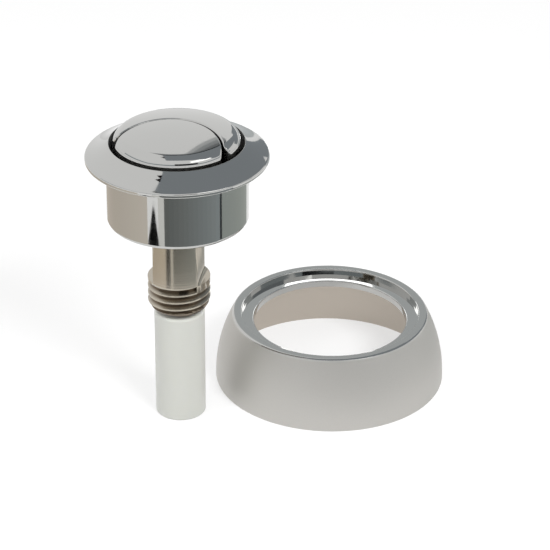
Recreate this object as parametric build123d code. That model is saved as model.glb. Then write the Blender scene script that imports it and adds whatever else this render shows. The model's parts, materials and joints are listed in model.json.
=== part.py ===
"""Dual-flush push button for a cistern lid, with its loose lid collar. Millimetres, +Z up.

The origin is the centre of the push rod's lower end. The head stands on the rod along +Z, with the
full-flush button towards -Y, and the collar rests beside it on the same level.
"""
import os
from math import atan2, cos, degrees, hypot, radians, sin, sqrt

from build123d import *

# Levels along the head's axis, measured up from the lower end of the push rod
push_rod_length = 30.0
rod_shoulder_gap = 1.6
thread_length = 8.2
flats_length = 16.2
cup_side_height = 16.8
flange_edge_height = 1.4
flange_rise = 3.0
button_stand = 2.3

stem_end_z = push_rod_length + rod_shoulder_gap
ledge_z = stem_end_z + thread_length
cup_bottom_z = ledge_z + flats_length
flange_under_z = cup_bottom_z + cup_side_height
flange_edge_z = flange_under_z + flange_edge_height
rim_z = flange_edge_z + flange_rise
button_edge_z = rim_z + button_stand

# Housing: cup and flange
cup_radius = 17.9
cup_wall = 1.2
cup_floor = 1.6
cup_bottom_round = 1.3
flange_radius = 23.0
flange_edge_round = 0.45
flange_crown = 0.3
mouth_radius = 17.25
mouth_depth = 3.6
floor_z = cup_bottom_z + cup_floor
cup_inner_radius = cup_radius - cup_wall

# Threaded stem and what clamps it
stem_radius = 8.0
stem_across_flats = 11.5
stem_turn = 6.0
stem_taper = 0.15
thread_lead_length = 1.6
thread_lead_depth = 0.9
spigot_radius = 5.7
spigot_clearance = 0.1
stem_washer_radius = 7.2
stem_washer_thickness = 0.6
stem_nut_across_flats = 14.4
stem_nut_height = 2.2
stem_nut_chamfer = 0.65
spigot_stand = 0.2
nut_seat_z = floor_z + stem_washer_thickness
nut_top_z = nut_seat_z + stem_nut_height
spigot_end_z = nut_top_z + spigot_stand

# Plungers: an inner pin for the full flush, inside a tube for the half flush
travel = 5.0
stop_clearance = 0.4
running_clearance = 0.08
pin_radius = 1.95
pin_neck_radius = 1.4
tube_bore_radius = pin_radius + running_clearance
tube_radius = 3.2
tube_neck_radius = 2.8
tube_depth_in_rod = 18.0
push_rod_radius = 6.5
push_rod_shoulder_round = 1.3
push_rod_end_round = 0.4
push_rod_pin_bore = 2.3
stem_bore_radius = 4.55
stem_guide_length = 4.4
stem_guide_radius = tube_radius + running_clearance
spring_seat_z = stem_end_z + stem_guide_length

# Sliders, guide pins and retaining clips
hub_radius = 5.2
slider_thickness = 2.0
clip_thickness = 0.5
clip_rim = 1.1
clip_groove_depth = 0.3
clip_opening = 80.0
clip_gap = 0.1
groove_land = 0.5
guide_pin_radius = 1.2
guide_sleeve_radius = 2.2
guide_boss_radius = 2.4
guide_boss_height = 1.2
guide_boss_root = 0.8
guide_pin_seat = 0.7
guide_x = 9.2
guide_y = -7.4
rear_guide_y = 10.5
ear_drop = 2.4
bridge_half_width = 6.5
bridge_web = 1.3
rear_sleeve_stand = 2.6

half_slider_z = spigot_end_z + travel + stop_clearance
half_slider_top_z = half_slider_z + slider_thickness
tube_end_z = half_slider_top_z + clip_thickness + groove_land
full_slider_z = tube_end_z + travel + stop_clearance
full_slider_top_z = full_slider_z + slider_thickness
pin_end_z = full_slider_top_z + clip_thickness + groove_land
ear_top_z = full_slider_z - ear_drop
ear_z = ear_top_z - slider_thickness
rear_sleeve_top_z = half_slider_top_z + rear_sleeve_stand

# Buttons
button_radius = 15.9
button_dome = 2.2
full_edge_round = 1.0
half_edge_round = 0.8
button_skirt = 8.0
button_wall = 1.2
split_radius = 13.6
split_offset = 9.9
split_gap = 0.45
tip_round = 1.2
skirt_notch_radius = 7.0
button_boss_radius = 2.0
full_boss_x = 2.9
full_boss_y = -10.8
half_boss_x = 6.6
half_boss_y = 9.2
boss_root = 0.6
half_pillar_radius = 2.4
half_pillar_stand = 0.6
half_pillar_top_z = full_slider_z + half_pillar_stand

# Button screws
screw_radius = 1.0
screw_head_radius = 1.8
screw_head_height = 1.1
screw_head_round = 0.35
screw_grip = 3.0
screw_slot_width = 0.5
screw_slot_depth = 0.5

# Return springs
full_spring_wire = 0.45
full_spring_radius = 1.75
full_spring_turns = 6
half_spring_wire = 0.6
half_spring_radius = 3.9
half_spring_turns = 11
spring_play = 0.03

# Lid collar: its recess takes the flange, its bore lets the cup through, and it rests beside the rod
collar_height = 18.8
collar_recess_play = 0.4
collar_recess_depth = 1.7
collar_bore_play = 2.35
collar_lip_width = 2.3
collar_flare = 4.7
collar_belly = 1.25
collar_base_land = 0.6
collar_wall = 1.3
collar_web = 2.1
collar_edge_round = 0.3
collar_gap = 6.6
collar_direction = 39.2
collar_recess_radius = flange_radius + collar_recess_play
collar_bore_radius = cup_radius + collar_bore_play
collar_lip_radius = collar_recess_radius + collar_lip_width
collar_base_radius = collar_lip_radius + collar_flare
collar_distance = push_rod_radius + collar_gap + collar_base_radius
collar_x = collar_distance * cos(radians(collar_direction))
collar_y = collar_distance * sin(radians(collar_direction))


def turned(outline):
    """A piece turned about the head's axis from its closed half section of (radius, z)."""
    return revolve(Plane.XZ * make_face(outline), Axis.Z)


def turned_from(points):
    """A turned piece whose half section has straight sides only."""
    return turned(Polyline(*points, close=True))


def rounded(face, corners, radius):
    """A flat face with the corners that lie at the given points rounded."""
    found = [face.vertices().sort_by_distance((x, y))[0] for x, y in corners]
    return fillet(found, radius)


def post(radius, low_z, high_z, x=0.0, y=0.0):
    """A plain upright cylinder between two levels."""
    return Pos(x, y, low_z) * Cylinder(radius, high_z - low_z, align=(Align.CENTER, Align.CENTER, Align.MIN))


def plate(outline, low_z, high_z):
    """A flat outline raised between two levels."""
    return extrude(Pos(0, 0, low_z) * outline, high_z - low_z)


def arm(start, end, width):
    """The outline of a straight arm with round ends."""
    length = hypot(end[0] - start[0], end[1] - start[1])
    middle = Pos((start[0] + end[0]) / 2, (start[1] + end[1]) / 2)
    turn = degrees(atan2(end[1] - start[1], end[0] - start[0]))
    return middle * Rot(0, 0, turn) * SlotCenterToCenter(length, width)


def housing():
    """Cast cup with a sloped flange round its mouth, a floor with the stem's hole and three pin bosses."""
    edge = flange_edge_z - flange_edge_round
    under = flange_under_z + flange_edge_round
    middle_r = (flange_radius + mouth_radius) / 2
    middle_z = (flange_edge_z + rim_z) / 2 + flange_crown
    foot = (flange_radius - flange_edge_round, flange_edge_z)
    slope = ThreePointArc(foot, (middle_r, middle_z), (mouth_radius, rim_z))
    mouth_z = rim_z - mouth_depth
    step_z = mouth_z - (mouth_radius - cup_inner_radius)
    hole_radius = spigot_radius + spigot_clearance
    outline = slope + Polyline(
        (mouth_radius, rim_z),
        (mouth_radius, mouth_z),
        (cup_inner_radius, step_z),
        (cup_inner_radius, floor_z),
        (hole_radius, floor_z),
        (hole_radius, cup_bottom_z),
        (cup_radius, cup_bottom_z),
        (cup_radius, flange_under_z),
        (flange_radius - flange_edge_round, flange_under_z),
        (flange_radius, under),
        (flange_radius, edge),
        foot,
    )
    section = rounded(make_face(outline), [(cup_radius, cup_bottom_z)], cup_bottom_round)
    body = revolve(Plane.XZ * section, Axis.Z)
    for x, y in guide_places().values():
        body += post(guide_boss_radius, floor_z - guide_boss_root, floor_z + guide_boss_height, x, y)
        body -= post(guide_pin_radius, cup_bottom_z + guide_pin_seat, floor_z + guide_boss_height, x, y)
    return body


def guide_places():
    """Where the three guide pins stand in the cup's floor."""
    return {"left": (-guide_x, guide_y), "right": (guide_x, guide_y), "rear": (0, rear_guide_y)}


def guide_top(side):
    """The level at which a slider rests under the clip of its guide pin."""
    return rear_sleeve_top_z if side == "rear" else ear_top_z


def threaded_stem():
    """Stem with a threaded foot, two flats on the tapered shank above it and a spigot that goes up into the cup."""
    body = turned_from([
        (stem_guide_radius, stem_end_z),
        (stem_radius - thread_lead_depth, stem_end_z),
        (stem_radius, stem_end_z + thread_lead_length),
        (stem_radius, ledge_z),
        (stem_radius - stem_taper, cup_bottom_z),
        (spigot_radius, cup_bottom_z),
        (spigot_radius, spigot_end_z),
        (stem_bore_radius, spigot_end_z),
        (stem_bore_radius, spring_seat_z),
        (stem_guide_radius, spring_seat_z),
    ])
    flat_depth = stem_radius - stem_across_flats / 2
    for side in (-1, 1):
        cutter = Box(flat_depth, 2 * stem_radius, flats_length, align=(Align.MIN, Align.CENTER, Align.MIN))
        start = stem_across_flats / 2 if side > 0 else -stem_radius
        body -= Rot(0, 0, stem_turn) * Pos(start, 0, ledge_z) * cutter
    return body


def stem_washer():
    """Flat washer under the stem's nut."""
    hole = post(spigot_radius + spigot_clearance, floor_z, nut_seat_z)
    return post(stem_washer_radius, floor_z, nut_seat_z) - hole


def stem_nut():
    """Thin hexagon nut on the spigot, with its corners turned off above and below."""
    body = plate(RegularPolygon(stem_nut_across_flats / 2, 6, major_radius=False), nut_seat_z, nut_top_z)
    corner = stem_nut_across_flats / 2 / cos(radians(30))
    body &= turned_from([
        (0, nut_seat_z),
        (corner - stem_nut_chamfer, nut_seat_z),
        (corner, nut_seat_z + stem_nut_chamfer),
        (corner, nut_top_z - stem_nut_chamfer),
        (corner - stem_nut_chamfer, nut_top_z),
        (0, nut_top_z),
    ])
    return body - post(spigot_radius, nut_seat_z, nut_top_z)


def dome_top(drop=0.0):
    """A puck wider than both buttons, under the dome of their tops, lowered as asked."""
    low = button_edge_z - button_skirt
    edge = button_radius + button_wall
    sphere_radius = (button_radius ** 2 + button_dome ** 2) / (2 * button_dome)
    centre_z = button_edge_z + button_dome - sphere_radius

    def dome_z(r):
        return centre_z + sqrt((sphere_radius - drop) ** 2 - r ** 2)

    top = ThreePointArc((0, dome_z(0)), (edge / 2, dome_z(edge / 2)), (edge, dome_z(edge)))
    return turned(top + Polyline((edge, dome_z(edge)), (edge, low), (0, low), (0, dome_z(0))))


def button_outline(part, inset=0.0):
    """The lens (front) or crescent (rear) outline of a button, narrowed on every side by the inset."""
    outer = Circle(button_radius - inset)
    if part == "lens":
        shape = outer & (Pos(0, -split_offset) * Circle(split_radius - inset))
    else:
        shape = outer - (Pos(0, -split_offset) * Circle(split_radius + split_gap + inset))
    return fillet(shape.vertices(), tip_round)


def under_dome(outline, drop=0.0):
    """An outline raised from the skirt's foot to the dome."""
    return dome_top(drop) & plate(outline, button_edge_z - button_skirt, button_edge_z + 2 * button_dome)


def button_cap(part, edge_round):
    """A domed cap with a skirt and a rounded edge, hollow from below."""
    cap = under_dome(button_outline(part))
    lowest_z = button_edge_z - button_wall
    rim = [edge for edge in cap.edges() if min(corner.Z for corner in edge.vertices()) > lowest_z]
    return fillet(rim, edge_round) - under_dome(button_outline(part, button_wall), button_wall)


def cap_with_bosses(part, edge_round, places, boss_foot_z):
    """A cap with two screw bosses that hang from the underside of its top."""
    cap = button_cap(part, edge_round)
    inside = dome_top(button_wall - boss_root)
    for x, y in places:
        cap += inside & post(button_boss_radius, boss_foot_z, button_edge_z + 2 * button_dome, x, y)
        cap -= post(screw_radius, boss_foot_z, boss_foot_z + screw_grip, x, y)
    return cap


def full_boss_places():
    """Where the two screws of the full-flush cap stand."""
    return [(-full_boss_x, full_boss_y), (full_boss_x, full_boss_y)]


def half_boss_places():
    """Where the two screws of the half-flush cap stand."""
    return [(-half_boss_x, half_boss_y), (half_boss_x, half_boss_y)]


def full_flush_button():
    """The lens cap, its skirt cut away where it passes over the hub of the half-flush slider."""
    cap = cap_with_bosses("lens", full_edge_round, full_boss_places(), full_slider_top_z)
    return cap - post(skirt_notch_radius, button_edge_z - button_skirt, full_slider_z)


def half_flush_button():
    """The crescent cap."""
    return cap_with_bosses("crescent", half_edge_round, half_boss_places(), half_pillar_top_z)


def full_flush_slider():
    """Bridge under the front cap, with an ear on each side that runs on a guide pin."""
    inset = 2 * button_wall
    sleeve_width = 2 * guide_sleeve_radius
    lens = Circle(button_radius - inset) & (Pos(0, -split_offset) * Circle(split_radius - inset))
    strip = Pos(0, -split_offset) * Rectangle(2 * bridge_half_width, 2 * split_radius)
    body = plate(lens & strip, full_slider_z, full_slider_top_z)
    for side in (-1, 1):
        x = side * guide_x
        web_x = side * (bridge_half_width - bridge_web / 2)
        web = Pos(web_x, guide_y) * Rectangle(bridge_web, sleeve_width)
        body += plate(web, ear_z, full_slider_z)
        ear = Pos(x, guide_y) * Circle(guide_sleeve_radius)
        ear += Pos((x + web_x) / 2, guide_y) * Rectangle(abs(x - web_x), sleeve_width)
        body += plate(ear, ear_z, ear_top_z)
        body -= post(guide_pin_radius + running_clearance, ear_z, ear_top_z, x, guide_y)
    body -= post(pin_neck_radius, full_slider_z, full_slider_top_z)
    for x, y in full_boss_places():
        body -= post(screw_radius, full_slider_z, full_slider_top_z, x, y)
    return body


def half_flush_slider():
    """Three-armed plate under the crescent cap, with a hub on the tube, two pillars and a guide sleeve."""
    outline = Circle(hub_radius) + arm((0, 0), (0, rear_guide_y), 2 * guide_sleeve_radius)
    for x, y in half_boss_places():
        outline += arm((0, 0), (x, y), 2 * half_pillar_radius)
    body = plate(outline, half_slider_z, half_slider_top_z)
    body += post(guide_sleeve_radius, half_slider_top_z, rear_sleeve_top_z, 0, rear_guide_y)
    for x, y in half_boss_places():
        body += post(half_pillar_radius, half_slider_top_z, half_pillar_top_z, x, y)
        body -= post(screw_radius, half_slider_z, half_pillar_top_z, x, y)
    body -= post(tube_neck_radius, half_slider_z, half_slider_top_z)
    body -= post(guide_pin_radius + running_clearance, half_slider_z, rear_sleeve_top_z, 0, rear_guide_y)
    return body


def full_flush_pin():
    """Long pin with a necked and grooved top, whose shoulder takes the slider's push."""
    groove_radius = pin_neck_radius - clip_groove_depth
    return turned_from([
        (0, 0),
        (pin_radius, 0),
        (pin_radius, full_slider_z),
        (pin_neck_radius, full_slider_z),
        (pin_neck_radius, full_slider_top_z),
        (groove_radius, full_slider_top_z),
        (groove_radius, full_slider_top_z + clip_thickness),
        (pin_neck_radius, full_slider_top_z + clip_thickness),
        (pin_neck_radius, pin_end_z),
        (0, pin_end_z),
    ])


def half_flush_tube():
    """Tube round the pin, from inside the push rod up through the stem to the half-flush slider."""
    low = push_rod_length - tube_depth_in_rod
    groove_radius = tube_neck_radius - clip_groove_depth
    return turned_from([
        (tube_bore_radius, low),
        (tube_radius, low),
        (tube_radius, half_slider_z),
        (tube_neck_radius, half_slider_z),
        (tube_neck_radius, half_slider_top_z),
        (groove_radius, half_slider_top_z),
        (groove_radius, half_slider_top_z + clip_thickness),
        (tube_neck_radius, half_slider_top_z + clip_thickness),
        (tube_neck_radius, tube_end_z),
        (tube_bore_radius, tube_end_z),
    ])


def push_rod():
    """Plastic rod on the tube's lower end, with a rounded shoulder and a through hole for the pin."""
    low = push_rod_length - tube_depth_in_rod
    outline = Polyline(
        (push_rod_pin_bore, 0),
        (push_rod_radius, 0),
        (push_rod_radius, push_rod_length),
        (tube_radius, push_rod_length),
        (tube_radius, low),
        (push_rod_pin_bore, low),
        close=True,
    )
    section = rounded(make_face(outline), [(push_rod_radius, push_rod_length)], push_rod_shoulder_round)
    section = rounded(section, [(push_rod_radius, 0)], push_rod_end_round)
    return revolve(Plane.XZ * section, Axis.Z)


def clip(shaft_radius, low_z, x=0.0, y=0.0, facing=0.0):
    """Open retaining ring that sits in the groove of a shaft."""
    inner = shaft_radius - clip_groove_depth
    outer = shaft_radius + clip_rim
    reach = 2 * outer
    opening = Polyline(
        (0, 0),
        (reach * cos(radians(clip_opening / 2)), reach * sin(radians(clip_opening / 2))),
        (reach * cos(radians(clip_opening / 2)), -reach * sin(radians(clip_opening / 2))),
        close=True,
    )
    ring = Circle(outer) - Circle(inner) - make_face(opening)
    return Pos(x, y, low_z) * Rot(0, 0, facing) * extrude(ring, clip_thickness)


def guide_pin(side):
    """Pin pressed into a floor boss, with a groove for its clip near the top."""
    x, y = guide_places()[side]
    groove_z = guide_top(side) + clip_gap
    groove_radius = guide_pin_radius - clip_groove_depth
    pin = turned_from([
        (0, cup_bottom_z + guide_pin_seat),
        (guide_pin_radius, cup_bottom_z + guide_pin_seat),
        (guide_pin_radius, groove_z),
        (groove_radius, groove_z),
        (groove_radius, groove_z + clip_thickness),
        (guide_pin_radius, groove_z + clip_thickness),
        (guide_pin_radius, groove_z + clip_thickness + groove_land),
        (0, groove_z + clip_thickness + groove_land),
    ])
    return Pos(x, y, 0) * pin


def guide_clip(side, facing):
    """Clip on a guide pin, the stop for the slider's way up."""
    x, y = guide_places()[side]
    return clip(guide_pin_radius, guide_top(side) + clip_gap, x, y, facing)


def coil_spring(mean_radius, wire, low_z, high_z, turns, x=0.0, y=0.0):
    """Compression spring between two levels."""
    rise = high_z - low_z - wire
    path = Helix(pitch=rise / turns, height=rise, radius=mean_radius)
    section = Plane(origin=path @ 0, z_dir=path % 0) * Circle(wire / 2)
    return Pos(x, y, low_z + wire / 2) * sweep(section, path)


def screws(places, foot_z, length):
    """Pan-head screws driven upwards through a slider into the bosses of a cap."""
    group = []
    for x, y in places:
        screw = post(screw_radius, foot_z, foot_z + length, x, y)
        head = post(screw_head_radius, foot_z - screw_head_height, foot_z, x, y)
        head = fillet(head.edges().group_by(Axis.Z)[0], screw_head_round)
        slot = Box(2 * screw_head_radius, screw_slot_width, screw_slot_depth * 2)
        group.append(screw + head - Pos(x, y, foot_z - screw_head_height) * slot)
    return Compound(children=group)


def lid_collar():
    """Bell-shaped ring with a lip, a recess for the flange and a web round the bore."""
    bore_z = collar_height - collar_recess_depth
    web_z = bore_z - collar_web
    middle_r = (collar_base_radius + collar_lip_radius) / 2 + collar_belly
    middle_z = (collar_height + collar_base_land) / 2
    base = (collar_base_radius, collar_base_land)
    lip = (collar_lip_radius, collar_height)
    outer_arc = ThreePointArc(base, (middle_r, middle_z), lip)
    inner_foot = collar_base_radius - collar_wall
    inner_head = collar_lip_radius - collar_wall
    inner_middle = middle_r - collar_wall
    inner_arc = ThreePointArc((inner_head, web_z), (inner_middle, middle_z - collar_wall), (inner_foot, 0))
    outline = (
        outer_arc
        + Polyline(
            lip,
            (collar_recess_radius, collar_height),
            (collar_recess_radius, bore_z),
            (collar_bore_radius, bore_z),
            (collar_bore_radius, web_z),
            (inner_head, web_z),
        )
        + inner_arc
        + Polyline((inner_foot, 0), (collar_base_radius, 0), base)
    )
    face = make_face(outline)
    soft = [lip, (collar_recess_radius, collar_height), (collar_bore_radius, bore_z)]
    section = rounded(face, soft, collar_edge_round)
    return Pos(collar_x, collar_y, 0) * revolve(Plane.XZ * section, Axis.Z)


full_spring_foot = floor_z + guide_boss_height + spring_play
full_spring_head = ear_z - spring_play
half_spring_foot = spring_seat_z + spring_play
half_spring_head = half_slider_z - spring_play
full_screw_length = slider_thickness + screw_grip
half_screw_length = half_pillar_top_z - half_slider_z + screw_grip
pieces = {
    "housing": housing(),
    "threaded_stem": threaded_stem(),
    "stem_washer": stem_washer(),
    "stem_nut": stem_nut(),
    "full_flush_button": full_flush_button(),
    "half_flush_button": half_flush_button(),
    "full_flush_slider": full_flush_slider(),
    "half_flush_slider": half_flush_slider(),
    "full_flush_pin": full_flush_pin(),
    "half_flush_tube": half_flush_tube(),
    "push_rod": push_rod(),
    "full_pin_clip": clip(pin_neck_radius, full_slider_top_z, facing=-90),
    "half_tube_clip": clip(tube_neck_radius, half_slider_top_z, facing=-90),
    "half_flush_spring": coil_spring(
        half_spring_radius, half_spring_wire, half_spring_foot, half_spring_head, half_spring_turns),
    "full_button_screws": screws(full_boss_places(), full_slider_z, full_screw_length),
    "half_button_screws": screws(half_boss_places(), half_slider_z, half_screw_length),
    "lid_collar": lid_collar(),
}
for side, facing in (("left", 180), ("right", 0), ("rear", 90)):
    pieces[f"guide_pin_{side}"] = guide_pin(side)
    pieces[f"guide_clip_{side}"] = guide_clip(side, facing)
for side in ("left", "right"):
    x, y = guide_places()[side]
    pieces[f"full_flush_spring_{side}"] = coil_spring(
        full_spring_radius, full_spring_wire, full_spring_foot, full_spring_head, full_spring_turns, x, y)

os.makedirs("parts", exist_ok=True)
for node, piece in pieces.items():
    export_step(piece, f"parts/{node}.step")
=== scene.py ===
"""Looks of a dual-flush push button for a cistern lid and of its loose lid collar. Metres, +Z up."""
import json
from math import atan2, cos, pi, radians, sin, tan

import bmesh
import bpy
from mathutils import Matrix, Vector

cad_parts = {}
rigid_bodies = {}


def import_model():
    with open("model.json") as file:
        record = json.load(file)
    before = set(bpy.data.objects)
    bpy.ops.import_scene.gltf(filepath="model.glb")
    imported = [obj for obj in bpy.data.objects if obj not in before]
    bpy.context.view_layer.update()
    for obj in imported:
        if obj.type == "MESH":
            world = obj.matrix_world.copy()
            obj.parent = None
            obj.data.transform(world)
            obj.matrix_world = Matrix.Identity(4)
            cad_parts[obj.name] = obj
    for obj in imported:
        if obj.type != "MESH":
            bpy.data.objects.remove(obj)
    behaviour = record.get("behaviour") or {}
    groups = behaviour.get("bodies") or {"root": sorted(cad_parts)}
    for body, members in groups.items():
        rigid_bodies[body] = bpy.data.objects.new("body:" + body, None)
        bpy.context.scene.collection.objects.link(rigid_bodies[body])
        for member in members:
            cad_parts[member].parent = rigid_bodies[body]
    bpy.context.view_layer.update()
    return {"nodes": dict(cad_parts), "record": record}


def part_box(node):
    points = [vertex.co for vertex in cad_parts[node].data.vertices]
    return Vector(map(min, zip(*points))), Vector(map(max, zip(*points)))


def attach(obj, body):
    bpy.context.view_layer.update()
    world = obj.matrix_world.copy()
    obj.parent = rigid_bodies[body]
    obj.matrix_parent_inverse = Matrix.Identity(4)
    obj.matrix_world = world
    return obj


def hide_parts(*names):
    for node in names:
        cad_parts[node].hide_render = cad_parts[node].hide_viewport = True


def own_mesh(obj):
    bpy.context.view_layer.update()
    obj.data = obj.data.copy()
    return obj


for spare in list(bpy.data.objects):
    bpy.data.objects.remove(spare)
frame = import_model()

# The camera stands in front of the head and a little above it, as in the photograph. Its picture is
# 550 pixels wide. "Right", "away" and "up" below are directions as it sees them, from the head's foot.
MM = 0.001
picture_width = 550
focal_pixels = 2400
sensor_width = 36.0
picture_offset = 25
view_turn = radians(14)
camera_pitch = radians(28.5)
camera_place = (18.1, -537.5, 331.5)
camera_near = 10


def seen(right, away, up):
    """The point at so many millimetres to the camera's right, away from it and up from the floor."""
    x = right * cos(view_turn) - away * sin(view_turn)
    y = right * sin(view_turn) + away * cos(view_turn)
    return Vector((x, y, up)) * MM


camera = bpy.data.objects.new("camera", bpy.data.cameras.new("camera"))
camera.data.sensor_width = sensor_width
camera.data.lens = focal_pixels / picture_width * sensor_width
camera.data.shift_x = picture_offset / picture_width
camera.data.clip_start = camera_near * MM
camera.location = seen(*camera_place)
camera.rotation_euler = (pi / 2 - camera_pitch, 0, view_turn)
bpy.context.scene.collection.objects.link(camera)
bpy.context.scene.camera = camera
bpy.context.scene.view_settings.view_transform = "Standard"

# The studio is a white tent. Metal and the camera see it as plain white, and matt surfaces get a
# part of their light from it. Two soft boxes in front give the rest, and no mirror shows them.
tent_light = 0.62
picture_rays = ("Is Camera Ray", "Is Glossy Ray", "Is Transmission Ray")
soft_boxes = {
    "soft_box_right": {"place": (330, -420, 520), "size": (0.30, 0.20), "watts": 3.9},
    "soft_box_left": {"place": (-520, -240, 420), "size": (0.30, 0.40), "watts": 2.2},
}
lit_point = (10, 0, 50)


def add(tree, kind, inputs=None, **settings):
    """Adds one shader node. An input is a value, or another node's output that is linked to it."""
    made = tree.nodes.new("ShaderNode" + kind)
    for name, value in settings.items():
        setattr(made, name, value)
    for name, value in (inputs or {}).items():
        if isinstance(value, bpy.types.NodeSocket):
            tree.links.new(value, made.inputs[name])
        else:
            made.inputs[name].default_value = value
    return made


def colour(code):
    """A colour written as an sRGB hex code, as linear red, green, blue and alpha."""
    parts = [int(code[i:i + 2], 16) / 255 for i in (1, 3, 5)]
    return (*[p / 12.92 if p <= 0.04045 else ((p + 0.055) / 1.055) ** 2.4 for p in parts], 1.0)


def seen_directly(tree):
    """1 for a ray that shows in the picture: from the camera, off metal or through glass."""
    path = add(tree, "LightPath")
    either = add(tree, "Math", {0: path.outputs[picture_rays[0]], 1: path.outputs[picture_rays[1]]},
                 operation="MAXIMUM")
    return add(tree, "Math", {0: either.outputs[0], 1: path.outputs[picture_rays[2]]},
               operation="MAXIMUM").outputs[0]


world = bpy.data.worlds.new("tent")
world.use_nodes = True
bpy.context.scene.world = world
tree = world.node_tree
strength = add(tree, "MapRange", {"Value": seen_directly(tree), "To Min": tent_light, "To Max": 1.0})
background = tree.nodes["Background"]
background.inputs["Color"].default_value = colour("#ffffff")
tree.links.new(strength.outputs["Result"], background.inputs["Strength"])
for name, box in soft_boxes.items():
    lamp = bpy.data.objects.new(name, bpy.data.lights.new(name, "AREA"))
    lamp.data.shape = "RECTANGLE"
    lamp.data.size, lamp.data.size_y = box["size"]
    lamp.data.energy = box["watts"]
    lamp.location = seen(*box["place"])
    aim = seen(*lit_point) - lamp.location
    lamp.rotation_euler = aim.to_track_quat("-Z", "Y").to_euler()
    lamp.visible_camera = False
    lamp.visible_glossy = False
    bpy.context.scene.collection.objects.link(lamp)

# The floor is pale card. It glows just enough to look as white as the tent where nothing shades it,
# and it keeps the soft shadow of what stands on it.
floor_size = 6.0
floor_glow = 0.6
floor = bpy.data.objects.new("floor", bpy.data.meshes.new("floor"))
bpy.context.scene.collection.objects.link(floor)
shape = bmesh.new()
bmesh.ops.create_grid(shape, x_segments=1, y_segments=1, size=floor_size / 2)
shape.to_mesh(floor.data)
shape.free()
card = bpy.data.materials.new("pale_card")
card.use_nodes = True
tree = card.node_tree
tree.nodes.clear()
matt = add(tree, "BsdfDiffuse", {"Color": colour("#a8a8a8")})
glow = add(tree, "Math", {0: seen_directly(tree), 1: floor_glow}, operation="MULTIPLY")
glowing = add(tree, "Emission", {"Strength": glow.outputs[0]})
both = add(tree, "AddShader", {0: matt.outputs[0], 1: glowing.outputs[0]})
add(tree, "OutputMaterial", {"Surface": both.outputs[0]})
floor.data.materials.append(card)

# Grey cards hang in the tent where the chrome has its darker reflections. Only glossy surfaces see
# them: they give no light and no shadow, and the camera looks through them. The one overhead darkens
# the right of the flange and of the caps, and fades out behind over soft edge strips.
overhead_height = 600
overhead_back = [(-92, 200), (60, 250), (250, 640), (500, 1150)]
overhead_corners = [(-136, -260), *overhead_back, (1000, 1150), (1000, -260)]
edge_spread = [1.0, 0.8, 1.3]
edge_codes = ["#26282a", "#55585b", "#808385", "#a4a7a9", "#c6c8c9"]
edge_width = 32
edge_skew = -0.35
edge_drop = 3
mark_corners = [(-112, -60), (-150, -40), (-112, -12), (-140, 20), (-100, 40)]
mark_drop = 5
back_card_away = 1150
back_card_corners = [(290, 600), (1300, 600), (1300, 150), (250, 170)]


def grey_card(name, corners, code, strength=1.0):
    """A flat card of a plain colour with the given corners, seen by glossy surfaces only."""
    sheet = bpy.data.objects.new(name, bpy.data.meshes.new(name))
    bpy.context.scene.collection.objects.link(sheet)
    outline = bmesh.new()
    outline.faces.new([outline.verts.new(seen(*corner)) for corner in corners])
    outline.to_mesh(sheet.data)
    outline.free()
    paint = bpy.data.materials.new(name)
    paint.use_nodes = True
    inside = paint.node_tree
    inside.nodes.clear()
    plain = add(inside, "Emission", {"Color": colour(code), "Strength": strength})
    add(inside, "OutputMaterial", {"Surface": plain.outputs[0]})
    sheet.data.materials.append(paint)
    sheet.visible_camera = False
    sheet.visible_diffuse = False
    sheet.visible_shadow = False
    sheet.visible_transmission = False


def edge_run(step):
    """The overhead card's back edge, moved back by so many strip widths."""
    return [(x + edge_skew * edge_width * step * spread, y + edge_width * step * spread)
            for (x, y), spread in zip(overhead_back, edge_spread)]


def at_height(points, height):
    """Corners at one height."""
    return [(x, y, height) for x, y in points]


grey_card("card_overhead", at_height(overhead_corners, overhead_height), "#959ba0")
for i, code in enumerate(edge_codes):
    outline = edge_run(i) + edge_run(i + 1)[::-1]
    grey_card(f"card_edge_{i}", at_height(outline, overhead_height - edge_drop), code)
grey_card("card_marks", at_height(mark_corners, overhead_height - mark_drop), "#0c0c0c")
grey_card("card_back_right", [(x, back_card_away, z) for x, z in back_card_corners], "#959ba0")

# The cup's wall mirrors the floor round it, so its bands are strips of card just over the floor. A
# strip has its first and last angle, in degrees to the right of the cup's front, the lowest and the
# highest level at which the wall shows it, and the two colours between which it fades.
cup_radius = 17.9
band_step = 4
band_height = 1.0
cup_bands = {
    "card_dark": (-10, 36.5, 34, 100, "#747775", "#9fa7a9"),
    "card_line": (36.5, 38.5, 50, 78, "#3c4042", "#3c4042"),
    "card_right": (38.5, 74, 50, 78, "#a9b0ac", "#b6bbb6"),
    "card_warm": (-80, -24, 34, 100, "#d2c8bb", "#e9e1d5"),
    "card_strip": (-15, -10, 34, 100, "#f4f4f0", "#f4f4f0"),
}
wedge = [(-24, 34), (-14.5, 34), (-14.5, 58), (-18, 71), (-19.5, 71), (-24, 58)]


def floor_seen(azimuth, height):
    """The floor point that shows in the cup's wall at a height, at so many degrees right of its front."""
    turn = radians(azimuth)
    reach = height / tan(camera_pitch)
    right = cup_radius * sin(turn) + reach * sin(2 * turn)
    away = -cup_radius * cos(turn) - reach * cos(2 * turn)
    return (right, away, band_height)


def mixed_code(first_code, last_code, part):
    """The colour code that lies so far on the way from the first code to the last."""
    pairs = [(int(first_code[k:k + 2], 16), int(last_code[k:k + 2], 16)) for k in (1, 3, 5)]
    return "#%02x%02x%02x" % tuple(round(a * (1 - part) + b * part) for a, b in pairs)


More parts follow.
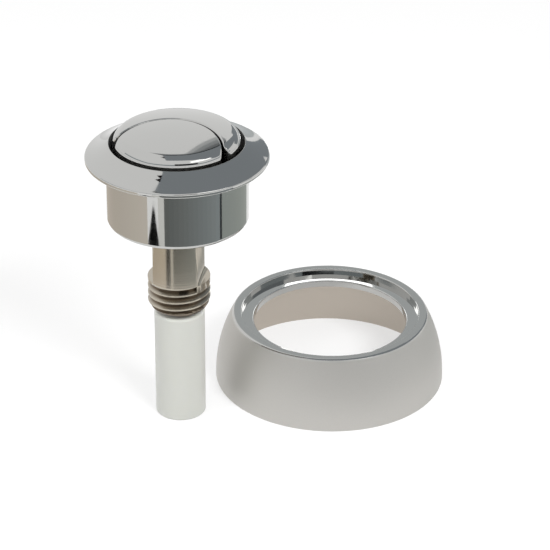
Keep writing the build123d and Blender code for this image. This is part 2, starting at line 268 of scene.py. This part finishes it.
for name, (first, last, low, high, left_code, right_code) in cup_bands.items():
    steps = max(1, round((last - first) / band_step))
    for i in range(steps):
        left, right = [first + (last - first) * (i + edge) / steps for edge in (0, 1)]
        outline = [floor_seen(left, low), floor_seen(right, low),
                   floor_seen(right, high), floor_seen(left, high)]
        grey_card(f"{name}_{i}", outline, mixed_code(left_code, right_code, (i + 0.5) / steps))
grey_card("card_black", [floor_seen(turn, height) for turn, height in wedge], "#101010")

# Upright cards: a pale one and a bright strip behind the collar, for its recess, a bright one up at
# the right, for the caps' front rim, a dark one behind the camera, and a far grey band round the tent.
upright_cards = {
    "card_behind_lip": ((-10, 82), (100, 82), 24, 74, "#c6cacb", 1.0),
    "card_lip_strip": ((31.8, 80), (50.8, 80), 44, 56, "#ffffff", 3.0),
    "card_bright": ((290, -520), (560, -180), 500, 760, "#ffffff", 2.4),
    "card_hood": ((-24, -560), (443, -560), 200, 400, "#2c2e30", 1.0),
}
surround_low = 190
surround_high = 300
surround = [(-700, 150), (-700, -570), (700, -570), (700, 150)]


def upright(start, end, low, high):
    """Corners of an upright card over the line from start to end."""
    return [(*start, low), (*end, low), (*end, high), (*start, high)]


for name, (start, end, low, high, code, strength) in upright_cards.items():
    grey_card(name, upright(start, end, low, high), code, strength)
for i in range(len(surround) - 1):
    outline = upright(surround[i], surround[i + 1], surround_low, surround_high)
    grey_card(f"card_surround_{i}", outline, "#a4acb0")

# Housing: a zinc casting, polished outside and plated with bright chrome, as the caps are. The plate
# is a near mirror, with the slight waviness of hand polishing and a faint veil of fine wipe marks.
# The cup's inside wall isn't polished, so the plate is rough there.
polish_wave = 6.0
polish_depth = 0.006
wipe_width = 1.5
wall_reach = 16.0
wall_roughness = 0.55
turn_steps = 256
round_steps = 7
stud_sides = 48
arc_points = 14
crease = radians(32)
merge_reach = 0.0005


def material(name):
    """A new node material, with its tree, its Principled shader and the object's own coordinates."""
    made = bpy.data.materials.new(name)
    made.use_nodes = True
    inside = made.node_tree
    place = add(inside, "TexCoord").outputs["Object"]
    return made, inside, inside.nodes["Principled BSDF"], place


def about_axis(tree, place, axis=(0, 0, 0)):
    """The level vector from an upright axis to the surface, that vector's length, and the height."""
    split = add(tree, "SeparateXYZ", {"Vector": place})
    flat_place = add(tree, "CombineXYZ", {"X": split.outputs["X"], "Y": split.outputs["Y"]}).outputs[0]
    outward = add(tree, "VectorMath", {0: flat_place, 1: axis}, operation="SUBTRACT").outputs[0]
    radius = add(tree, "VectorMath", {0: outward}, operation="LENGTH").outputs["Value"]
    return outward, radius, split.outputs["Z"]


def faces_axis(tree, outward):
    """1 where the surface faces the axis that the vector comes from, as the wall of a bore does."""
    normal = add(tree, "NewGeometry").outputs["Normal"]
    along = add(tree, "VectorMath", {0: normal, 1: outward}, operation="DOT_PRODUCT").outputs["Value"]
    return add(tree, "Math", {0: along, 1: 0.0}, operation="LESS_THAN").outputs[0]


chrome, tree, shader, place = material("bright_chrome_plate")
shader.inputs["Base Color"].default_value = colour("#bcbcba")
shader.inputs["Metallic"].default_value = 1.0
veil = add(tree, "TexNoise", {"Vector": place, "Scale": 1 / (wipe_width * MM), "Detail": 3.0})
veil_roughness = add(tree, "MapRange", {"Value": veil.outputs["Fac"], "From Min": 0.35, "From Max": 0.75,
                                        "To Min": 0.045, "To Max": 0.085})
outward, radius, height = about_axis(tree, place)
past_caps = add(tree, "Math", {0: radius, 1: wall_reach * MM}, operation="GREATER_THAN").outputs[0]
cup_wall = add(tree, "Math", {0: faces_axis(tree, outward), 1: past_caps}, operation="MULTIPLY").outputs[0]
roughness = add(tree, "Mix", {"Factor": cup_wall, "A": veil_roughness.outputs["Result"],
                              "B": wall_roughness})
tree.links.new(roughness.outputs["Result"], shader.inputs["Roughness"])
wave = add(tree, "TexNoise", {"Vector": place, "Scale": 1 / (polish_wave * MM), "Detail": 1.0})
relief = add(tree, "Bump", {"Height": wave.outputs["Fac"], "Strength": 1.0, "Distance": polish_depth * MM})
tree.links.new(relief.outputs["Normal"], shader.inputs["Normal"])


def arc(start, bow, end):
    """Points of a shallow arc from start to end, bowed out to its left by so much, ends included."""
    across = (end[0] - start[0], end[1] - start[1])
    length = (across[0] ** 2 + across[1] ** 2) ** 0.5
    left = (-across[1] / length, across[0] / length)
    found = []
    for i in range(arc_points + 1):
        part = i / arc_points
        out = 4 * part * (1 - part) * bow
        found.append((start[0] + across[0] * part + left[0] * out,
                      start[1] + across[1] * part + left[1] * out))
    return found


def piece_from(shape, name, body, node, finish):
    """Makes a finished piece of a bmesh: normals out, smooth but for its creases, riding on its body."""
    bmesh.ops.remove_doubles(shape, verts=shape.verts, dist=merge_reach * MM)
    bmesh.ops.recalc_face_normals(shape, faces=shape.faces)
    piece = bpy.data.objects.new(name, bpy.data.meshes.new(name))
    shape.to_mesh(piece.data)
    shape.free()
    bpy.context.scene.collection.objects.link(piece)
    piece.data.shade_smooth()
    piece.data.set_sharp_from_angle(angle=crease)
    weighted = piece.modifiers.new("even_shading", "WEIGHTED_NORMAL")
    weighted.keep_sharp = True
    piece.data.materials.append(finish)
    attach(piece, body)
    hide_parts(node)
    return piece


def turned(name, outline, rounds, body, node, finish, centre=(0, 0), studs=()):
    """A lathe shape from its closed half section of (radius, z) in mm.

    Some corners are rounded. The centre is its axis, in metres, and studs are pillars on it, in mm.
    """
    shape = bmesh.new()
    corners = [shape.verts.new(Vector((r, 0, z)) * MM) for r, z in outline]
    shape.faces.new(corners)
    for corner, radius in rounds.items():
        bmesh.ops.bevel(shape, geom=[corners[outline.index(corner)]], offset=radius * MM,
                        segments=round_steps, profile=0.5, affect="VERTICES", material=-1)
    bmesh.ops.delete(shape, geom=shape.faces[:], context="FACES_ONLY")
    bmesh.ops.spin(shape, geom=shape.verts[:] + shape.edges[:], cent=(0, 0, 0), axis=(0, 0, 1),
                   angle=2 * pi, steps=turn_steps, use_merge=True)
    bmesh.ops.translate(shape, verts=shape.verts, vec=Vector((*centre, 0)))
    for x, y, radius, low, high in studs:
        middle = Matrix.Translation(Vector((x, y, (low + high) / 2)) * MM)
        bmesh.ops.create_cone(shape, cap_ends=True, segments=stud_sides, radius1=radius * MM,
                              radius2=radius * MM, depth=(high - low) * MM, matrix=middle)
    return piece_from(shape, name, body, node, finish)


flange_slope = arc((23.0, 74.05), 0.3, (16.95, 77.36))
housing_outline = flange_slope + [
    (16.95, 73.6), (16.7, 73.05), (16.7, 57.6), (5.8, 57.6),
    (5.8, 56.0), (cup_radius, 56.0), (cup_radius, 72.8), (23.0, 72.8),
]
housing_rounds = {(23.0, 74.05): 0.42, (16.95, 77.36): 0.22, (cup_radius, 56.0): 1.3, (23.0, 72.8): 0.42}
guide_places = [(-9.2, -7.4), (9.2, -7.4), (0, 10.5)]
guide_boss_radius = 2.4
guide_boss_foot = 57.4
guide_boss_top = 58.8
guide_bosses = [(x, y, guide_boss_radius, guide_boss_foot, guide_boss_top) for x, y in guide_places]
turned("flanged_cup", housing_outline, housing_rounds, "fixed", "housing", chrome,
       studs=guide_bosses)

# Button caps: two thin cast shells, a lens in front and a crescent behind it, under one dome with a
# well rounded rim. The edges along the split are crisp, and each cap stands on two screw bosses.
button_radius = 15.9
button_edge = 79.5
button_foot = 71.5
button_wall = 1.1
dome_rise = 2.2
rim_start = 13.55
rim_round = 2.6
edge_round = 0.4
rim_insets = (0.6, 0.8, 1.0)
split_radius = 13.6
split_offset = 9.9
split_gap = 0.45
tip_radius = 1.2
notch_radius = 7.0
notch_foot = 74.4
boss_radius = 2.0
boss_bore = 1.0
top_grid = 0.35
inside_grid = 1.0
cut_tolerance = 0.0001
lens_bosses = [(-2.9, -10.8), (2.9, -10.8)]
lens_boss_foot = 76.4
crescent_bosses = [(-6.6, 9.2), (6.6, 9.2)]
crescent_boss_foot = 75.0


def dome(x, y):
    """Height of the dome over the level of the caps' rim."""
    reach = (x ** 2 + y ** 2) ** 0.5
    ball = (button_radius ** 2 + dome_rise ** 2) / (2 * dome_rise)
    past = max(0.0, reach - rim_start)
    drop = rim_round - (rim_round ** 2 - past ** 2) ** 0.5
    return (ball ** 2 - reach ** 2) ** 0.5 - ball + dome_rise - drop


def cap_outline(part, inset):
    """Points round the lens or the crescent, moved inwards by the inset, counterclockwise."""
    side = 1 if part == "lens" else -1
    split = split_radius if part == "lens" else split_radius + split_gap
    outer_reach = button_radius - tip_radius
    split_reach = split - side * tip_radius
    tip_y = (split_reach ** 2 - outer_reach ** 2 - split_offset ** 2) / (2 * split_offset)
    tip_x = (outer_reach ** 2 - tip_y ** 2) ** 0.5
    outer_turn = atan2(tip_y, tip_x)
    split_turn = atan2(tip_y + split_offset, tip_x)
    tip = tip_radius - inset
    rim = button_radius - inset
    cut = split - side * inset
    if part == "lens":
        arcs = [((0, 0), rim, -pi - outer_turn, outer_turn, 96),
                ((tip_x, tip_y), tip, outer_turn, split_turn, 10),
                ((0, -split_offset), cut, split_turn, pi - split_turn, 72),
                ((-tip_x, tip_y), tip, pi - split_turn, pi - outer_turn, 10)]
    else:
        arcs = [((0, 0), rim, outer_turn, pi - outer_turn, 120),
                ((-tip_x, tip_y), tip, pi - outer_turn, 2 * pi - split_turn, 16),
                ((0, -split_offset), cut, pi - split_turn, split_turn, 72),
                ((tip_x, tip_y), tip, pi + split_turn, 2 * pi + outer_turn, 16)]
    return [(centre[0] + reach * cos(start + (end - start) * i / count),
             centre[1] + reach * sin(start + (end - start) * i / count))
            for centre, reach, start, end, count in arcs for i in range(count)]


def ring_places(part, inset, level):
    """Places of a loop round a cap at an inset and a level, lifted over the notch in the lens's skirt."""
    notched = part == "lens" and level == button_foot
    places = []
    for x, y in cap_outline(part, inset):
        z = notch_foot if notched and x ** 2 + y ** 2 < notch_radius ** 2 else level
        places.append(Vector((x, y, z)) * MM)
    return places


def loop_edges(shape, corners):
    """The edges between neighbours in a closed loop of corners, made where they aren't there yet."""
    pairs = [(corners[i - 1], corners[i]) for i in range(len(corners))]
    return [shape.edges.get(pair) or shape.edges.new(pair) for pair in pairs]


def next_ring(shape, corners, places):
    """Extrudes a closed loop and moves its new corners to their places."""
    made = bmesh.ops.extrude_edge_only(shape, edges=loop_edges(shape, corners))["geom"]
    fresh = {part for part in made if isinstance(part, bmesh.types.BMVert)}
    grown = []
    for corner, place in zip(corners, places):
        across = next(e.other_vert(corner) for e in corner.link_edges if e.other_vert(corner) in fresh)
        across.co = place
        grown.append(across)
    return grown


def gridded(shape, corners, spacing):
    """Closes a level loop with a face and cuts it into small squares that can follow the dome."""
    face = shape.faces.new(corners)
    half = round(button_radius / spacing) * spacing
    lines = [-half + spacing * i for i in range(round(2 * half / spacing) + 1)]
    pieces = [face, *face.edges, *face.verts]
    for axis in ((1, 0, 0), (0, 1, 0)):
        for line in lines:
            pieces = bmesh.ops.bisect_plane(shape, geom=pieces, dist=cut_tolerance * MM,
                                            plane_co=Vector(axis) * line * MM, plane_no=axis)["geom"]


def button_cap(name, part, boss_places, boss_foot, body, node):
    """A domed cap: skirt, rounded rim and gridded top, the same inside, and two tubular bosses."""
    shape = bmesh.new()
    levels = [(button_wall, button_edge - button_wall), (button_wall, button_foot), (0, button_foot)]
    for i in range(round_steps + 1):
        turn = pi / 2 * i / round_steps
        levels.append((edge_round * (1 - cos(turn)), button_edge - edge_round * (1 - sin(turn))))
    levels += [(inset, button_edge) for inset in rim_insets]
    first = [shape.verts.new(place) for place in ring_places(part, *levels[0])]
    last = first
    for inset, level in levels[1:]:
        last = next_ring(shape, last, ring_places(part, inset, level))
    gridded(shape, last, top_grid)
    gridded(shape, first, inside_grid)
    for corner in shape.verts:
        x, y, z = corner.co / MM
        if z > button_edge - 2 * button_wall:
            corner.co.z += dome(x, y) * MM
    for x, y in boss_places:
        top = button_edge + dome(x, y) - button_wall / 2
        section = [(boss_bore, boss_foot), (boss_radius, boss_foot), (boss_radius, top), (boss_bore, top)]
        loop = [shape.verts.new(Vector((x + r, y, z)) * MM) for r, z in section]
        edges = [shape.edges.new((loop[i - 1], loop[i])) for i in range(len(loop))]
        bmesh.ops.spin(shape, geom=loop + edges, cent=Vector((x, y, 0)) * MM, axis=(0, 0, 1),
                       angle=2 * pi, steps=stud_sides, use_merge=True)
    return piece_from(shape, name, body, node, chrome)


button_cap("lens_cap", "lens", lens_bosses, lens_boss_foot, "full_flush", "full_flush_button")
button_cap("crescent_cap", "crescent", crescent_bosses, crescent_boss_foot,
           "half_flush", "half_flush_button")

# Lid collar: the same plate, polished on the lip and in the recess, satin on the skirt, and left
# as cast and rough inside, where it is a warm grey.
collar_low, collar_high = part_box("lid_collar")
collar_axis = (collar_low + collar_high) / 2
collar_centre = (collar_axis.x, collar_axis.y, 0)
skirt_radius = 25.6
skirt_blend = 0.5
blast_grain = 0.4
blast_depth = 0.004
polished_roughness = 0.06
cast_roughness = 0.5
web_level = 15.0
web_margin = 0.05
collar, tree, shader, place = material("collar_chrome_plate")
outward, radius, height = about_axis(tree, place, collar_centre)
under_web = add(tree, "Math", {0: height, 1: (web_level + web_margin) * MM}, operation="LESS_THAN")
rough_inside = add(tree, "Math", {0: faces_axis(tree, outward), 1: under_web.outputs[0]},
                   operation="MULTIPLY").outputs[0]
satin = add(tree, "MapRange", {"Value": radius, "From Min": skirt_radius * MM,
                               "From Max": (skirt_radius + skirt_blend) * MM}).outputs["Result"]
blast = add(tree, "TexNoise", {"Vector": place, "Scale": 1 / (blast_grain * MM), "Detail": 2.0})
blasted = add(tree, "MapRange", {"Value": blast.outputs["Fac"], "To Min": 0.58, "To Max": 0.66})
outer_roughness = add(tree, "Mix", {"Factor": satin, "A": polished_roughness,
                                    "B": blasted.outputs["Result"]})
roughness = add(tree, "Mix", {"Factor": rough_inside, "A": outer_roughness.outputs["Result"],
                              "B": cast_roughness})
outer_tint = add(tree, "Mix", {"Factor": satin, "A": colour("#bcbcba"), "B": colour("#c8c6c2")},
                 data_type="RGBA")
tint = add(tree, "Mix", {"Factor": rough_inside, "A": outer_tint.outputs["Result"], "B": colour("#c5bdb3")},
           data_type="RGBA")
relief = add(tree, "Bump", {"Height": blast.outputs["Fac"], "Strength": satin, "Distance": blast_depth * MM})
tree.links.new(relief.outputs["Normal"], shader.inputs["Normal"])
tree.links.new(roughness.outputs["Result"], shader.inputs["Roughness"])
tree.links.new(tint.outputs["Result"], shader.inputs["Base Color"])
shader.inputs["Metallic"].default_value = 1.0
collar_outline = (
    arc((30.4, 0.6), -1.2, (25.7, 18.8))
    + [(23.4, 18.8), (23.4, 17.1), (20.25, 16.8), (20.25, web_level)]
    + arc((24.4, web_level), 1.1, (29.1, 0.0))
    + [(30.4, 0.0)]
)
collar_rounds = {(25.7, 18.8): 0.45, (23.4, 18.8): 0.3, (20.25, 16.8): 0.3, (30.4, 0.0): 0.25}
turned("bell_collar", collar_outline, collar_rounds, "fixed", "lid_collar", collar,
       (collar_centre[0], collar_centre[1]))

# Threaded stem: turned brass with a warm satin nickel plate, two milled flats and a coarse
# right-hand thread, cut here as a helical groove. The groove's colour is painted darker than its
# crests, as painted shade in the hollow, and the nut and the tube on the same axis have the same plate.
thread_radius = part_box("threaded_stem")[1].x / MM
thread_pitch = 2.0
thread_depth = 1.1
groove_outer_half = 0.92
groove_root_half = 0.3
root_rise = 0.2
cutter_reach = 0.4
cutter_flare = 0.12
groove_start = 30.3
groove_end = 38.9
groove_at_front = 32.7
groove_steps = 72
stem_crease = radians(24)
stem_merge_reach = 0.001
groove_dark = 7.2
groove_bright = 7.9
turning_line = 0.2
turning_run = 25.0
turning_depth = 0.006
groove_section = [
    (thread_radius + cutter_reach, -groove_outer_half - cutter_flare),
    (thread_radius - thread_depth + root_rise, -groove_root_half),
    (thread_radius - thread_depth, 0),
    (thread_radius - thread_depth + root_rise, groove_root_half),
    (thread_radius + cutter_reach, groove_outer_half + cutter_flare),
]
groove = bmesh.new()
front = view_turn - pi / 2
start_turn = front + 2 * pi * (groove_start - groove_at_front) / thread_pitch
section = [(reach * cos(start_turn), reach * sin(start_turn), groove_start + rise)
           for reach, rise in groove_section]
first_end = groove.faces.new([groove.verts.new(Vector(corner) * MM) for corner in section])
turns = (groove_end - groove_start) / thread_pitch
steps = round(turns * groove_steps)
rise_step = Vector((0, 0, thread_pitch * turns / steps)) * MM
bmesh.ops.spin(groove, geom=[first_end, *first_end.edges, *first_end.verts], cent=(0, 0, 0), axis=(0, 0, 1),
               dvec=rise_step, angle=2 * pi * turns, steps=steps)
bmesh.ops.recalc_face_normals(groove, faces=groove.faces)
cutter = bpy.data.objects.new("thread_groove", bpy.data.meshes.new("thread_groove"))
groove.to_mesh(cutter.data)
groove.free()
bpy.context.scene.collection.objects.link(cutter)

stem = bpy.data.objects.new("stem_with_thread", frame["nodes"]["threaded_stem"].data.copy())
bpy.context.scene.collection.objects.link(stem)
blank = bmesh.new()
blank.from_mesh(stem.data)
bmesh.ops.remove_doubles(blank, verts=blank.verts, dist=stem_merge_reach * MM)
blank.to_mesh(stem.data)
blank.free()
cut = stem.modifiers.new("thread", "BOOLEAN")
cut.operation = "DIFFERENCE"
cut.solver = "EXACT"
cut.object = cutter
bpy.context.view_layer.update()
threaded = bpy.data.meshes.new_from_object(stem.evaluated_get(bpy.context.evaluated_depsgraph_get()))
stem.modifiers.clear()
stem.data = threaded
bpy.data.objects.remove(cutter)
stem.data.shade_smooth()
stem.data.set_sharp_from_angle(angle=stem_crease)

nickel, tree, shader, place = material("satin_nickel_plate")
shader.inputs["Metallic"].default_value = 1.0
outward, radius, height = about_axis(tree, place)
# Painted shade: the base colour darkens towards the root of the thread's groove, up to the thread's end.
deep = add(tree, "MapRange", {"Value": radius, "From Min": groove_dark * MM, "From Max": groove_bright * MM,
                              "To Min": 1.0, "To Max": 0.0})
threaded_end = add(tree, "Math", {0: height, 1: groove_end * MM}, operation="LESS_THAN").outputs[0]
painted_groove_shade = add(tree, "Math", {0: deep.outputs["Result"], 1: threaded_end}, operation="MULTIPLY").outputs[0]
tint = add(tree, "Mix", {"Factor": painted_groove_shade, "A": colour("#b4ada0"), "B": colour("#6a5e50")}, data_type="RGBA")
tree.links.new(tint.outputs["Result"], shader.inputs["Base Color"])
turning_scale = (1 / (turning_run * MM), 1 / (turning_run * MM), 1 / (turning_line * MM))
tool_marks = add(tree, "Mapping", {"Vector": place, "Scale": turning_scale})
lines = add(tree, "TexNoise", {"Vector": tool_marks.outputs[0], "Scale": 1.0, "Detail": 4.0})
line_roughness = add(tree, "MapRange", {"Value": lines.outputs["Fac"], "To Min": 0.12, "To Max": 0.26})
tree.links.new(line_roughness.outputs["Result"], shader.inputs["Roughness"])
relief = add(tree, "Bump", {"Height": lines.outputs["Fac"], "Strength": 0.6, "Distance": turning_depth * MM})
tree.links.new(relief.outputs["Normal"], shader.inputs["Normal"])
for node in ("stem_nut", "half_flush_tube"):
    frame["nodes"][node].data.materials[0] = nickel
stem.data.materials.clear()
stem.data.materials.append(nickel)
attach(stem, "fixed")
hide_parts("threaded_stem")

# Push rod: natural white polypropylene, moulded and pushed over the end of the tube. Light goes a
# little way into it, and its skin has the soft uneven gloss of wax.
bloom_width = 4.0
plastic, tree, shader, place = material("natural_polypropylene")
shader.inputs["Base Color"].default_value = colour("#cdcec8")
shader.inputs["Sheen Weight"].default_value = 0.3
shader.inputs["Sheen Roughness"].default_value = 0.4
bloom = add(tree, "TexNoise", {"Vector": place, "Scale": 1 / (bloom_width * MM), "Detail": 4.0})
bloom_roughness = add(tree, "MapRange", {"Value": bloom.outputs["Fac"], "To Min": 0.34, "To Max": 0.5})
tree.links.new(bloom_roughness.outputs["Result"], shader.inputs["Roughness"])
shader.inputs["Subsurface Weight"].default_value = 0.6
shader.inputs["Subsurface Radius"].default_value = (0.004, 0.004, 0.0035)
rod_outline = [(2.3, 0.0), (6.5, 0.0), (6.5, 30.0), (3.2, 30.0), (3.2, 12.0), (2.3, 12.0)]
turned("plastic_rod", rod_outline, {(6.5, 0.0): 0.4, (6.5, 30.0): 0.7},
       "half_flush", "push_rod", plastic)

# Sliders: moulded dark acetal, with the fine even grain of a spark-eroded mould. They lie in the cup
# under the caps and show only as a dark ground in the gap round them.
acetal_grain = 0.25
acetal_depth = 0.01
acetal, tree, shader, place = material("dark_acetal")
grain = add(tree, "TexNoise", {"Vector": place, "Scale": 1 / (acetal_grain * MM), "Detail": 2.0})
shade = add(tree, "Mix", {"Factor": grain.outputs["Fac"], "A": colour("#343638"), "B": colour("#414345")},
            data_type="RGBA")
dull = add(tree, "MapRange", {"Value": grain.outputs["Fac"], "To Min": 0.4, "To Max": 0.55})
relief = add(tree, "Bump", {"Height": grain.outputs["Fac"], "Strength": 0.5, "Distance": acetal_depth * MM})
tree.links.new(shade.outputs["Result"], shader.inputs["Base Color"])
tree.links.new(dull.outputs["Result"], shader.inputs["Roughness"])
tree.links.new(relief.outputs["Normal"], shader.inputs["Normal"])
for node in ("full_flush_slider", "half_flush_slider"):
    frame["nodes"][node].data.materials[0] = acetal

# Pins, clips, screws and washer: bright stainless steel, drawn, turned or stamped. Faint lines run
# round them, as drawing and turning leave them.
steel_line = 0.2
steel_run = 50 / 3
steel, tree, shader, place = material("stainless_steel")
drawn_scale = (1 / (steel_run * MM), 1 / (steel_run * MM), 1 / (steel_line * MM))
drawn = add(tree, "Mapping", {"Vector": place, "Scale": drawn_scale})
lines = add(tree, "TexNoise", {"Vector": drawn.outputs[0], "Scale": 1.0, "Detail": 3.0})
gloss = add(tree, "MapRange", {"Value": lines.outputs["Fac"], "To Min": 0.16, "To Max": 0.3})
tone = add(tree, "Mix", {"Factor": lines.outputs["Fac"], "A": colour("#a2a2a0"), "B": colour("#b0b0ae")},
           data_type="RGBA")
tree.links.new(tone.outputs["Result"], shader.inputs["Base Color"])
tree.links.new(gloss.outputs["Result"], shader.inputs["Roughness"])
shader.inputs["Metallic"].default_value = 1.0
for part in frame["record"]["subparts"]:
    if part["material_slot"] == "steel":
        frame["nodes"][part["node"]].data.materials[0] = steel

# Return springs: the same steel as drawn wire, wound in open coils. Each stands on a fixed seat
# and rides on the fixed body.
wire_sides = 12
coil_steps = 36
springs = {
    "full_flush_spring_left": ("full_coil_left", "full_flush_press", 1.75, 0.45, 6),
    "full_flush_spring_right": ("full_coil_right", "full_flush_press", 1.75, 0.45, 6),
    "half_flush_spring": ("half_coil", "half_flush_press", 3.9, 0.6, 11),
}
for node, (name, joint, coil_radius, wire, coils) in springs.items():
    low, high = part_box(node)
    x, y = (low.x + high.x) / 2, (low.y + high.y) / 2
    climb = high.z - low.z - wire * MM
    shape = bmesh.new()
    start = Matrix.Translation((x + coil_radius * MM, y, low.z + wire / 2 * MM))
    bmesh.ops.create_circle(shape, cap_ends=True, segments=wire_sides, radius=wire / 2 * MM,
                            matrix=start @ Matrix.Rotation(pi / 2, 4, "X"))
    steps = coils * coil_steps
    bmesh.ops.spin(shape, geom=shape.faces[:] + shape.edges[:] + shape.verts[:], cent=(x, y, 0),
                   axis=(0, 0, 1), dvec=(0, 0, climb / steps), angle=2 * pi * coils, steps=steps)
    coil = piece_from(shape, name, "fixed", node, steel)
    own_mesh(coil)
